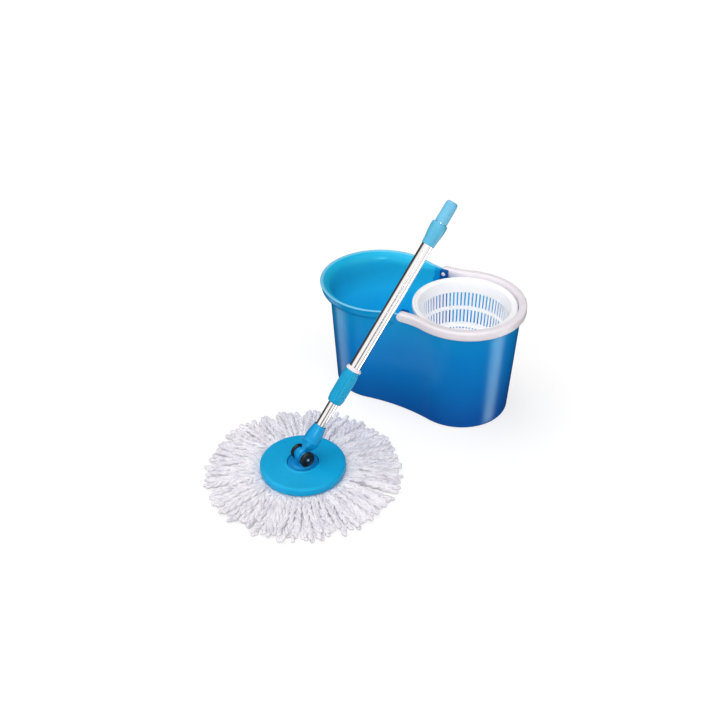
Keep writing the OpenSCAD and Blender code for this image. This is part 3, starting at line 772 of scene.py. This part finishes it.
def wringer_basket():
    """Basket turned from its section, with every slot cut right through the wall."""
    section, slots = basket_section()
    count = len(section)
    half = SLOT_W / 2 / SLOT_R
    pitch = TURN / SLOT_COUNT
    angles = []
    for i in range(SLOT_COUNT):
        centre = (i + 0.5) * pitch
        angles += [centre - half, centre + half, centre + pitch / 2]
    verts = [(r * math.cos(a), r * math.sin(a), z) for a in angles for r, z in section]
    open_edges = {pair: slot for slot in slots for pair in ((slot[0], slot[1]), (slot[3], slot[2]))}
    faces = []
    for i in range(len(angles)):
        j = (i + 1) % len(angles)
        for k in range(count):
            m = (k + 1) % count
            if section[k][0] <= 0 and section[m][0] <= 0:
                continue
            if i % 3 == 0 and (k, m) in open_edges:
                continue
            faces.append((i * count + k, j * count + k, j * count + m, i * count + m))
        if i % 3 == 0:
            for o0, o1, n0, n1 in slots:
                for line in (i, j):
                    faces.append(tuple(line * count + k for k in (o0, o1, n1, n0)))
                for o, n in ((o0, n0), (o1, n1)):
                    faces.append((i * count + o, j * count + o, j * count + n, i * count + n))
    basket = make("basket_body", verts, faces)
    bevel(basket, 0.4, 2, 40)
    hexagon = arc(0, 0, HEX_R, 0, TURN, 6)
    steps = 60
    outer = arc(0, 0, SOCKET_R, 0, TURN, steps)
    inner = []
    for k in range(steps):
        corner, share = divmod(k * 6 / steps, 1)
        a, b = hexagon[int(corner)], hexagon[(int(corner) + 1) % 6]
        inner.append((a[0] + (b[0] - a[0]) * share, a[1] + (b[1] - a[1]) * share))
    low, high = BASKET_FLOOR - SOCKET_DROP, BASKET_FLOOR + 0.4
    rings = [[(x, y, z) for x, y in plan]
             for plan, z in ((outer, low), (outer, high), (inner, high), (inner, low))]
    sleeve = loft(rings + [rings[0]], capped=False)
    socket = bevel(make("basket_socket", *sleeve), 0.5, 2)
    return join("wringer_basket_body", [basket, socket])


finished(wringer_basket(), "wringer_basket", PEARL, "white_plastic", "basket")

# ---------------- mop head

DISC_R = 80.0
DISC_TOP = corners("mop_disc")[1].z - 2
HUB_R = span("swivel_hub", HUB)[2]
CHEEK_IN = 5.5
CHEEK_OUT = 15.5
CHEEK_R = 11.6


def disc_plate():
    """Blue plate with a bevelled edge and a raised ring round the hub."""
    top, r = DISC_TOP, DISC_R
    profile = rounded([(11.1, top - 13, 0.5), (HUB_R + 4, top - 13, 1), (HUB_R + 4, top - 3.4, 0),
                       (r - 5, top - 4, 1), (r - 2.6, top - 15, 0.4), (r, top - 15, 0.8), (r, top - 2.6, 1.4),
                       (r - 2.4, top - 0.5, 1.2), (r - 5.5, top, 1), (HUB_R + 5.2, top + 0.9, 0.8),
                       (HUB_R + 4, top + 2, 0.8), (HUB_R + 0.8, top + 2, 0.8), (HUB_R + 0.6, top - 10, 0.5),
                       (11.1, top - 10, 0.5)], 5)
    return make("disc_plate", *lathe(profile, 144), place=HEAD)


def hub_casting():
    """Hub that turns in the disc, with the two cheeks of the tilt hinge."""
    low, top, lift = DISC_TOP - 9.5, DISC_TOP - 1, hinge.z
    shapes = [lathe(rounded([(0, low, 0), (HUB_R, low, 1), (HUB_R, top, 1.6), (0, top, 0)]), 96),
              lathe(rounded([(0, 14.5, 0), (9, 14.5, 1), (9, 16.4, 0), (11, 16.6, 0), (11, low + 1, 0),
                             (0, low + 1, 0)]), 64),
              lathe(rounded([(0, top - 2, 0), (HUB_R - 6, top - 2, 0), (HUB_R - 9, top + 2.2, 2),
                             (0, top + 2.2, 0)]), 96)]
    for side in (-1, 1):
        middle = side * (CHEEK_IN + CHEEK_OUT) / 2
        shapes.append(disc_shape((0, middle, lift), (0, 1, 0), CHEEK_R, CHEEK_OUT - CHEEK_IN, 1.2, 72))
        y0, y1 = sorted((side * CHEEK_IN, side * CHEEK_OUT))
        shapes.append(box_shape((-10.5, y0, top - 3), (10.5, y1, lift)))
        shapes.append(box_shape((-14.5, y0 + 3.4, top - 3), (14.5, y1 - 3.4, top + 5)))
    hub = make("hub_casting", *together(*shapes), place=HUB)
    return fuse(hub, 0.55, 5)


def hinge_pieces():
    """Black end caps with a dished face, and the ends of the steel pin that show in them."""
    face = rounded([(3.1, -3.4, 0), (14.2, -3.4, 0.4), (14.75, -2.8, 0.4), (14.75, 2.5, 0.6),
                    (13.2, 4.0, 1.0), (10.6, 4.0, 0.5), (9.8, 3.0, 0.5), (5.8, 3.0, 0.5), (5.0, 4.0, 0.5),
                    (3.1, 4.0, 0.3)], 4)
    caps, ends = [], []
    pin_half = CHEEK_OUT + 4.3
    pin = rounded([(0, 0, 0), (3.0, 0, 0), (3.0, pin_half, 1.2), (0, pin_half, 0)], 5)
    for side in (-1, 1):
        place = frame_of(hinge, pin_axis.cross(Vector((0, 0, 1))) * side, Vector((0, 0, 1)), pin_axis * side)
        caps.append(make("cap", *lathe([(r, z + CHEEK_OUT) for r, z in face], 80), place=place))
        ends.append(make("pin_half", *lathe(pin, 48), place=place))
    return join("hinge_end_caps", caps), join("hinge_pin_bar", ends)


finished(disc_plate(), "head", DISC_BLUE, "disc_plastic", "mop_disc")
finished(hub_casting(), "hub", HUB_BLUE, "hub_plastic", "swivel_hub")
caps, pin_bar = hinge_pieces()
finished(caps, "hub", BLACK, "black_plastic", "hinge_caps")
finished(pin_bar, "hub", ZINC, "zinc_steel", "hinge_pin")

# ---------------- strands

STRAND_SEED = 11
# Radius of a ply, its distance from the strand's middle line, and the strand's height as a share of its width
PLY_R = 3.0
PLY_OFF = 2.1
PLY_FLAT = 0.72
# Points round a ply
SIDES = 7
STRANDS_R = span("mop_strands", HEAD)[2]
# Layers of strands, lowest first: how many, height of the hump beside the disc, height on the floor and
# shortest reach
LAYERS = ((98, 5.5, 3.8, 0.90), (94, 11.0, 6.8, 0.88), (90, 16.5, 10.4, 0.83))


def strand_line(rng, turn, hump, rest, reach):
    """Middle line of one looped strand, from under the disc out along the floor."""
    start, end = rng.uniform(68, 73), STRANDS_R * rng.uniform(reach, 1.0) - PLY_R - PLY_OFF
    sway, phase, bends = rng.uniform(-5, 5), rng.uniform(0, TURN), rng.uniform(0.5, 1.1)
    drift = rng.gauss(0, 6)
    steps = int((end - start) / 2.6)
    points = []
    for i in range(steps + 1):
        t = i / steps
        r = start + (end - start) * t
        out_of_disc = ease((r - DISC_R + 6) / 22)
        fall = ease((r - 104) / 62)
        z = 8.2 + (hump - 8.2) * out_of_disc
        z += (rest - z) * fall
        side = drift * t + sway * math.sin(phase + TURN * bends * t) - sway * math.sin(phase)
        side *= ease(t * 1.3)
        angle = turn + side / r
        z += 0.7 * noise.noise((r * 0.045, turn * 9, hump))
        points.append(Vector((r * math.cos(angle), r * math.sin(angle), max(z, PLY_R * 1.15))))
    return points


def yarn(line, rng):
    """Tube that goes out along a line as one ply, turns back at the tip and returns as the other ply."""
    twist = rng.choice((-1, 1)) * TURN / rng.uniform(26, 36)
    phase = rng.uniform(0, TURN)
    steps = len(line)
    path = [[], []]
    for i, p in enumerate(line):
        ahead = (line[min(i + 1, steps - 1)] - line[max(i - 1, 0)]).normalized()
        side = ahead.cross(Vector((0, 0, 1))).normalized()
        up = side.cross(ahead)
        turn = phase + twist * 2.6 * i
        offset = side * math.cos(turn) * PLY_OFF + up * math.sin(turn) * PLY_OFF * PLY_FLAT
        path[0].append(p + offset)
        path[1].append(p - offset)
    tip = line[-1]
    ahead = (line[-1] - line[-2]).normalized()
    spread = (path[0][-1] - path[1][-1]) / 2
    bend = [tip + spread * math.cos(a) + ahead * PLY_OFF * 1.5 * math.sin(a)
            for a in (math.pi * k / 6 for k in range(1, 6))]
    return path[0] + bend + path[1][::-1]


def tube(path, rng):
    """Fluffy yarn along a path: its girth swells and pinches from ring to ring."""
    verts, faces = [], []
    side = Vector((0, 0, 1)).cross(path[1] - path[0]).normalized()
    count = len(path)
    seed = rng.uniform(0, 100)
    for i, p in enumerate(path):
        ahead = (path[min(i + 1, count - 1)] - path[max(i - 1, 0)]).normalized()
        side = (side - ahead * side.dot(ahead)).normalized()
        up = ahead.cross(side)
        girth = PLY_R * (1 + 0.10 * math.sin(i * 1.9 + seed) * math.sin(i * 0.63 + seed * 2))
        if i in (0, count - 1):
            girth *= 0.55
        for k in range(SIDES):
            a = TURN * k / SIDES
            fluff = 1 + 0.09 * noise.noise((i * 0.9 + seed, k * 1.7, seed))
            q = p + (side * math.cos(a) + up * math.sin(a)) * girth * fluff
            verts.append((q.x, q.y, max(q.z, 0.15)))
    for i in range(count - 1):
        for k in range(SIDES):
            m = (k + 1) % SIDES
            faces.append((i * SIDES + k, i * SIDES + m, (i + 1) * SIDES + m, (i + 1) * SIDES + k))
    faces.append(tuple(range(SIDES))[::-1])
    faces.append(tuple((count - 1) * SIDES + k for k in range(SIDES)))
    return verts, faces


def mop_yarn():
    """Every strand of the refill, spread on the floor all round the disc."""
    rng = random.Random(STRAND_SEED)
    shapes = []
    for count, hump, rest, reach in LAYERS:
        offset = rng.uniform(0, TURN)
        for i in range(count):
            turn = offset + TURN * (i + rng.uniform(-0.42, 0.42)) / count
            height = hump * rng.uniform(0.85, 1.12)
            line = strand_line(rng, turn, height, rest * rng.uniform(0.6, 1.15), reach)
            shapes.append(tube(yarn(line, rng), rng))
    verts, faces = together(*shapes)
    mesh = bpy.data.meshes.new("mop_yarn")
    mesh.from_pydata([(HEAD @ Vector(v)) * MM for v in verts], [], faces)
    shade(mesh, sharp=180)
    return in_scene("mop_yarn", mesh)


finished(mop_yarn(), "head", YARN, "microfibre", "mop_strands")

# ---------------- pole

SHOULDER = 32.0
SOCKET_TOP = span("pole_socket", POLE)[1]
SLEEVE_LOW, SLEEVE_TOP, SLEEVE_R = span("lock_sleeve", POLE)
RING_LOW, RING_TOP, RING_R = span("lock_ring", POLE)
FLARE_LOW, FLARE_TOP, FLARE_R = span("grip_lower", POLE)
GRIP_LOW, GRIP_TOP, GRIP_R = span("grip_upper", POLE)
TUBE_LOW, TUBE_TOP, TUBE_R = span("outer_tube", POLE)
INNER_LOW, INNER_TOP, INNER_R = span("inner_tube", POLE)
TUBE_WALL = 0.8


def rectangle(half_x, half_y, fillet, z):
    """Rounded rectangle at a height."""
    points = rounded([(half_x, -half_y, fillet), (half_x, half_y, fillet), (-half_x, half_y, fillet),
                      (-half_x, -half_y, fillet)], 5)
    return [(x, y, z) for x, y in points]


def socket_body():
    """Bell-shaped socket of the pole above the hinge's tongue."""
    tongue = disc_shape((0, 0, 0), (0, 1, 0), 13.0, 10.0, 0.8, 72)
    neck = loft([rectangle(hx, hy, fillet, z) for hx, hy, fillet, z in (
        (8.5, 5.0, 1.6, 0), (8.6, 5.0, 1.8, 13), (9.4, 6.2, 2.6, 16), (10.8, 9.0, 4.0, 19),
        (12.4, 11.6, 6.0, 23), (13.6, 13.2, 8.0, 28), (13.8, 13.6, 8.5, 33))])
    bell = rounded([(0, SHOULDER - 3, 0), (15.4, SHOULDER - 3, 1), (16.5, SHOULDER - 1, 0.8),
                    (16.5, SHOULDER + 1.6, 0.8), (15.6, SHOULDER + 2.6, 0.6), (15.9, SHOULDER + 8, 3),
                    (15.0, SHOULDER + 17, 5), (12.7, SOCKET_TOP - 5, 3), (12.3, SOCKET_TOP, 1.6),
                    (INNER_R, SOCKET_TOP - 0.4, 0.3), (INNER_R, SHOULDER + 4, 0), (0, SHOULDER + 4, 0)], 5)
    body = make("socket_body", *together(tongue, neck, lathe(bell, 96)), place=POLE)
    return fuse(body, 0.5, 4)


def sleeve_body():
    """Twist collar with finger ribs and a rounded lower end."""
    ribs, depth = 20, 0.9
    low, top, r = SLEEVE_LOW, SLEEVE_TOP, SLEEVE_R - 0.85
    profile = [(INNER_R + 0.4, low + 2.4), (INNER_R + 0.4, low + 0.4)]
    profile += [(INNER_R + 1.1, low), (r - 2.6, low + 0.3), (r - 1.5, low + 1.2), (r - 0.7, low + 3),
                (r - 0.2, low + 6)]
    length = top - low
    profile += [(r, low + length * k / 24) for k in range(3, 23)]
    profile += [(r + 0.5, top - 3), (r + 0.6, top - 1), (r + 0.2, top - 0.1), (r - 0.6, top),
                (TUBE_R + 0.1, top)]
    profile += [(TUBE_R + 0.1, low + 12.4), (TUBE_R + 1.4, low + 12.4), (TUBE_R + 1.4, low + 2.4)]

    def ripple(angle, radius, z):
        if radius < r - 0.1 or radius > r + 0.3:
            return radius
        fade = ease((z - low - 7) / 5) * ease((top - 5 - z) / 4)
        return radius + depth * fade * (0.5 + 0.5 * math.cos(ribs * angle)) ** 2.5

    return make("sleeve_body", *lathe(profile, 240, ripple), place=POLE)


def tube_body(name, radius, wall, low, high):
    """Drawn tube whose ends are slightly rounded in."""
    edge = 0.35
    outside = [(radius, low + edge + (high - low - 2 * edge) * k / 8) for k in range(9)]
    profile = [(radius - wall, low), (radius - edge, low), (radius - edge * 0.3, low + edge * 0.3)] + outside
    profile += [(radius - edge * 0.3, high - edge * 0.3), (radius - edge, high), (radius - wall, high)]
    return make(name, *lathe(profile, 128), place=POLE)


def ring_body():
    """White domed ring on top of the lock sleeve."""
    low, top, r = RING_LOW, RING_TOP, RING_R
    profile = rounded([(TUBE_R, low, 0), (r - 0.5, low, 0.4), (r, low + 1.2, 0.6), (r - 0.1, low + 3.6, 1.4),
                       (r - 1.4, top - 1.2, 1.4), (r - 3.0, top, 0.8), (TUBE_R, top, 0)], 5)
    return make("lock_ring_body", *lathe(profile, 96), place=POLE)


def flare_body():
    """Lower grip, which widens upwards to a rounded shoulder."""
    low, top, r = FLARE_LOW, FLARE_TOP, FLARE_R
    wide = r - TUBE_R - 1.2
    profile = [(TUBE_R, low + 0.3), (TUBE_R + 0.7, low), (TUBE_R + 1.2, low + 0.6)]
    profile += [(TUBE_R + 1.2 + wide * ease(0.08 + 0.92 * k / 12), low + 1 + (top - low - 8) * k / 12)
                for k in range(13)]
    profile += [(r - 0.1, top - 4.6), (r - 0.5, top - 2.6), (r - 1.3, top - 1.2), (r - 2.4, top - 0.4),
                (r - 3.2, top), (TUBE_R, top)]
    return make("flare_body", *lathe(profile, 96), place=POLE)


def grip_body():
    """Upper grip with fine lengthwise ribs and a rounded end."""
    ribs, depth = 24, 0.45
    low, top, r = GRIP_LOW, GRIP_TOP, GRIP_R - depth
    profile = [(TUBE_R, low), (r - 0.8, low), (r, low + 1.0)]
    profile += [(r - 0.5 * k / 14, low + 1 + (top - low - 6) * k / 14) for k in range(1, 15)]
    profile += [(r - 0.9, top - 3.2), (r - 1.8, top - 1.5), (r - 3.2, top - 0.5), (r - 5.0, top - 0.1),
                (r - 7, top), (0, top), (0, top - 4), (TUBE_R - 1, top - 4), (TUBE_R, top - 21)]

    def ripple(angle, radius, z):
        if radius < r - 0.7:
            return radius
        fade = ease((z - low - 2) / 3) * ease((top - 4 - z) / 3)
        return radius + depth * fade * (0.5 + 0.5 * math.cos(ribs * angle)) ** 1.5

    return make("grip_body", *lathe(profile, 240, ripple), place=POLE)


finished(socket_body(), "lower_pole", SOCKET_BLUE, "hub_plastic", "pole_socket")
finished(sleeve_body(), "sleeve", SLEEVE_BLUE, "bucket_plastic", "lock_sleeve")
outer_tube = tube_body("outer_tube_body", TUBE_R, TUBE_WALL, TUBE_LOW, TUBE_TOP)
finished(outer_tube, "upper_pole", STAINLESS, "stainless", "outer_tube")
inner_tube = tube_body("inner_tube_body", INNER_R, TUBE_WALL, INNER_LOW, INNER_TOP)
finished(inner_tube, "lower_pole", STAINLESS, "stainless", "inner_tube")
finished(ring_body(), "upper_pole", WHITE, "white_plastic", "lock_ring")
finished(flare_body(), "upper_pole", GRIP_BLUE, "grip_plastic", "grip_lower")
finished(grip_body(), "upper_pole", GRIP_PALE, "grip_plastic", "grip_upper")

# ---------------- CAD nodes that stay

for node, material in (
        ("basket_post", WHITE), ("post_screws", ZINC), ("spindle", ZINC), ("thrust_washer", ZINC),
        ("basket_seat", GREY), ("bearing_bush", BRASS), ("refill_ring", WHITE), ("hub_clip", ZINC),
        ("socket_rivet", ZINC), ("clutch_cup", GREY), ("clutch_cap", BLACK),
        ("drive_nut", GREY), ("helical_rod", ROD_STEEL), ("rod_anchor", GREY), ("anchor_pin", ZINC),
        ("guide_bush", WHITE), ("lock_collet", WHITE)):
    dress(node, material)

# ---------------- ground and light


def ground():
    """Plain pale floor. The studio's lower half lights the object from below in its place."""
    half = 12.0
    plan = [(-half, -half, 0), (half, -half, 0), (half, half, 0), (-half, half, 0)]
    mesh = bpy.data.meshes.new("Floor")
    mesh.from_pydata(plan, [], [(0, 1, 2, 3)])
    floor = in_scene("Floor", mesh)
    nodes = Nodes("floor_paint")
    nodes.shader.inputs["Base Color"].default_value = (0.38, 0.38, 0.382, 1)
    nodes.shader.inputs["Roughness"].default_value = 0.9
    nodes.shader.inputs["Specular IOR Level"].default_value = 0.0
    nodes.shader.inputs["Emission Color"].default_value = (1, 1, 1, 1)
    nodes.shader.inputs["Emission Strength"].default_value = 0.66
    mesh.materials.append(nodes.material)
    floor.visible_glossy = False
    floor.visible_diffuse = False
    floor.visible_shadow = False


# Studio cards: direction, half-angles of the bright core and the soft edge in degrees, brightness added
CARDS = (((0.80, 0.18, -0.57), 5, 17, 4.4),
         ((-0.81, -0.13, -0.57), 6, 20, 1.4))
# Middle of the bright half of the studio. A round bright tube shows a thin dark strip there
BRIGHT_MIDDLE = Vector((0.32, -0.88, 0.344)).normalized()
STRIP_HALF = 0.26
SHADE_TINT = (0.80, 0.72, 0.70, 1)
LIGHT_TINT = (1.0, 1.0, 1.0, 1)


def studio():
    """Soft white surroundings with brighter and darker cards."""
    world = bpy.data.worlds.new("Studio")
    bpy.context.scene.world = world
    world.use_nodes = True
    tree = world.node_tree
    nodes, links = tree.nodes, tree.links
    background = nodes["Background"]
    direction = nodes.new("ShaderNodeTexCoord").outputs["Generated"]

    def dot(vector):
        node = nodes.new("ShaderNodeVectorMath")
        node.operation = "DOT_PRODUCT"
        links.new(direction, node.inputs[0])
        node.inputs[1].default_value = vector
        return node.outputs["Value"]

    def steps(value, low, high, to_low, to_high):
        node = nodes.new("ShaderNodeMapRange")
        node.interpolation_type = "SMOOTHSTEP"
        for key, number in (("From Min", low), ("From Max", high), ("To Min", to_low), ("To Max", to_high)):
            node.inputs[key].default_value = number
        links.new(value, node.inputs["Value"])
        return node.outputs["Result"]

    def combine(operation, a, b):
        node = nodes.new("ShaderNodeMath")
        node.operation = operation
        links.new(a, node.inputs[0])
        if isinstance(b, float):
            node.inputs[1].default_value = b
        else:
            links.new(b, node.inputs[1])
        return node.outputs["Value"]

    level = combine("MULTIPLY", steps(dot((0, 0, 1)), -0.5, -0.1, 0.22, 1.0),
                    steps(dot(BRIGHT_MIDDLE), 0.0, 0.45, 0.07, 1.1))
    for vector, core, edge, gain in CARDS:
        aim = Vector(vector).normalized()
        card = steps(dot(aim), math.cos(math.radians(edge)), math.cos(math.radians(core)), 0.0, gain)
        level = combine("ADD", level, card)
    across = combine("ABSOLUTE", dot(pole_axis.cross(BRIGHT_MIDDLE).normalized()), 0.0)
    narrow = steps(across, STRIP_HALF * 0.5, STRIP_HALF, 0.0, 1.0)
    away = steps(dot(BRIGHT_MIDDLE), 0.80, 0.93, 1.0, 0.12)
    level = combine("MULTIPLY", level, combine("MAXIMUM", narrow, away))
    tint = nodes.new("ShaderNodeMix")
    tint.data_type = "RGBA"
    links.new(steps(level, 0.1, 1.2, 0.0, 1.0), tint.inputs[0])
    tint.inputs[6].default_value = SHADE_TINT
    tint.inputs[7].default_value = LIGHT_TINT
    links.new(tint.outputs[2], background.inputs["Color"])
    links.new(level, background.inputs["Strength"])


def lamp(name, aim, strength, spread, shadows):
    """Sun light that comes from the direction aim."""
    data = bpy.data.lights.new(name, "SUN")
    data.energy = strength
    data.angle = math.radians(spread)
    data.use_shadow = shadows
    light = in_scene(name, data)
    light.rotation_euler = Vector(aim).to_track_quat("Z", "Y").to_euler()


ground()
studio()
lamp("Key", (-0.42, 0.10, 0.90), 1.1, 50, True)
lamp("Fill", (0.40, -0.72, 0.57), 0.8, 20, False)
bpy.context.scene.view_settings.view_transform = "Standard"
